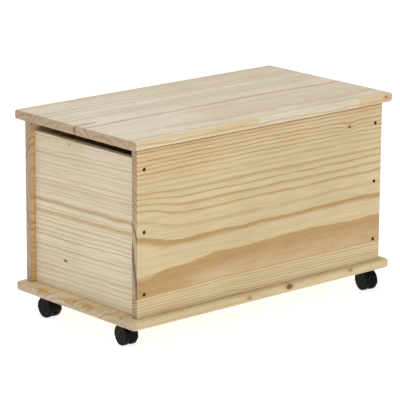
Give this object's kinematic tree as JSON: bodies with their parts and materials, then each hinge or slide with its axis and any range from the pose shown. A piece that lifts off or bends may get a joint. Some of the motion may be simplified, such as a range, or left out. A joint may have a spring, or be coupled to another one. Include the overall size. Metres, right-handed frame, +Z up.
{
  "type": "toy box",
  "caption": "Rectangular pine toy box with an overhanging base and a matching hinged lid, open hand gaps above both ends, on swivelling twin-wheel casters.",
  "frame": {"origin": "on the floor, under the middle of the box", "axes": "+X along the box towards its right end, +Y from the front to the hinged back, +Z up"},
  "size_m": [0.744, 0.4, 0.45],
  "materials": {
    "pine": "clear satin lacquer",
    "dark_bronze_screw": "dark bronze plated",
    "zinc_steel": "bright zinc plated",
    "black_plastic": "satin moulded",
    "clear_rubber": "soft, nearly clear"
  },
  "bodies": {
    "box": {"base_board": "pine", "front_panel": "pine", "back_panel": "pine", "left_end_panel": "pine", "right_end_panel": "pine", "front_screw_left_1": "dark_bronze_screw", "front_screw_left_2": "dark_bronze_screw", "front_screw_left_3": "dark_bronze_screw", "front_screw_right_1": "dark_bronze_screw", "front_screw_right_2": "dark_bronze_screw", "front_screw_right_3": "dark_bronze_screw", "back_screw_left_1": "dark_bronze_screw", "back_screw_left_2": "dark_bronze_screw", "back_screw_left_3": "dark_bronze_screw", "back_screw_right_1": "dark_bronze_screw", "back_screw_right_2": "dark_bronze_screw", "back_screw_right_3": "dark_bronze_screw", "base_screw_front_1": "dark_bronze_screw", "base_screw_front_2": "dark_bronze_screw", "base_screw_front_3": "dark_bronze_screw", "base_screw_back_1": "dark_bronze_screw", "base_screw_back_2": "dark_bronze_screw", "base_screw_back_3": "dark_bronze_screw", "base_screw_left_1": "dark_bronze_screw", "base_screw_left_2": "dark_bronze_screw", "base_screw_right_1": "dark_bronze_screw", "base_screw_right_2": "dark_bronze_screw", "left_bumper": "clear_rubber", "right_bumper": "clear_rubber", "left_hinge_box_leaf": "zinc_steel", "right_hinge_box_leaf": "zinc_steel", "left_hinge_pin": "zinc_steel", "right_hinge_pin": "zinc_steel", "front_left_caster_plate": "zinc_steel", "back_left_caster_plate": "zinc_steel", "front_right_caster_plate": "zinc_steel", "back_right_caster_plate": "zinc_steel", "front_left_caster_king_pin": "zinc_steel", "back_left_caster_king_pin": "zinc_steel", "front_right_caster_king_pin": "zinc_steel", "back_right_caster_king_pin": "zinc_steel"},
    "lid": {"lid": "pine", "left_hinge_lid_leaf": "zinc_steel", "right_hinge_lid_leaf": "zinc_steel"},
    "front_left_caster": {"front_left_caster_hood": "black_plastic", "front_left_caster_axle": "zinc_steel"},
    "front_left_caster_wheel_a": {"front_left_caster_wheel_a": "black_plastic"},
    "front_left_caster_wheel_b": {"front_left_caster_wheel_b": "black_plastic"},
    "back_left_caster": {"back_left_caster_hood": "black_plastic", "back_left_caster_axle": "zinc_steel"},
    "back_left_caster_wheel_a": {"back_left_caster_wheel_a": "black_plastic"},
    "back_left_caster_wheel_b": {"back_left_caster_wheel_b": "black_plastic"},
    "front_right_caster": {"front_right_caster_hood": "black_plastic", "front_right_caster_axle": "zinc_steel"},
    "front_right_caster_wheel_a": {"front_right_caster_wheel_a": "black_plastic"},
    "front_right_caster_wheel_b": {"front_right_caster_wheel_b": "black_plastic"},
    "back_right_caster": {"back_right_caster_hood": "black_plastic", "back_right_caster_axle": "zinc_steel"},
    "back_right_caster_wheel_a": {"back_right_caster_wheel_a": "black_plastic"},
    "back_right_caster_wheel_b": {"back_right_caster_wheel_b": "black_plastic"}
  },
  "joints": [
    {"name": "lid_hinge", "type": "hinge", "parent": "box", "child": "lid", "pos_m": [0, 0.1881, 0.4269], "axis": [-1, 0, 0], "range_deg": [0, 120]},
    {"name": "front_left_caster_swivel", "type": "hinge", "parent": "box", "child": "front_left_caster", "pos_m": [-0.335, -0.148, 0.04], "axis": [0, 0, 1], "continuous": true},
    {"name": "front_left_caster_wheel_a_spin", "type": "hinge", "parent": "front_left_caster", "child": "front_left_caster_wheel_a", "pos_m": [-0.33291, -0.12811, 0.022], "axis": [0.9945, -0.1045, 0], "continuous": true},
    {"name": "front_left_caster_wheel_b_spin", "type": "hinge", "parent": "front_left_caster", "child": "front_left_caster_wheel_b", "pos_m": [-0.33291, -0.12811, 0.022], "axis": [0.9945, -0.1045, 0], "continuous": true},
    {"name": "back_left_caster_swivel", "type": "hinge", "parent": "box", "child": "back_left_caster", "pos_m": [-0.335, 0.148, 0.04], "axis": [0, 0, 1], "continuous": true},
    {"name": "back_left_caster_wheel_a_spin", "type": "hinge", "parent": "back_left_caster", "child": "back_left_caster_wheel_a", "pos_m": [-0.33465, 0.128, 0.022], "axis": [-0.9998, -0.0175, 0], "continuous": true},
    {"name": "back_left_caster_wheel_b_spin", "type": "hinge", "parent": "back_left_caster", "child": "back_left_caster_wheel_b", "pos_m": [-0.33465, 0.128, 0.022], "axis": [-0.9998, -0.0175, 0], "continuous": true},
    {"name": "front_right_caster_swivel", "type": "hinge", "parent": "box", "child": "front_right_caster", "pos_m": [0.335, -0.148, 0.04], "axis": [0, 0, 1], "continuous": true},
    {"name": "front_right_caster_wheel_a_spin", "type": "hinge", "parent": "front_right_caster", "child": "front_right_caster_wheel_a", "pos_m": [0.33187, -0.16775, 0.022], "axis": [-0.9877, 0.1564, 0], "continuous": true},
    {"name": "front_right_caster_wheel_b_spin", "type": "hinge", "parent": "front_right_caster", "child": "front_right_caster_wheel_b", "pos_m": [0.33187, -0.16775, 0.022], "axis": [-0.9877, 0.1564, 0], "continuous": true},
    {"name": "back_right_caster_swivel", "type": "hinge", "parent": "box", "child": "back_right_caster", "pos_m": [0.335, 0.148, 0.04], "axis": [0, 0, 1], "continuous": true},
    {"name": "back_right_caster_wheel_a_spin", "type": "hinge", "parent": "back_right_caster", "child": "back_right_caster_wheel_a", "pos_m": [0.33084, 0.16756, 0.022], "axis": [0.9781, 0.2079, 0], "continuous": true},
    {"name": "back_right_caster_wheel_b_spin", "type": "hinge", "parent": "back_right_caster", "child": "back_right_caster_wheel_b", "pos_m": [0.33084, 0.16756, 0.022], "axis": [0.9781, 0.2079, 0], "continuous": true}
  ]
}
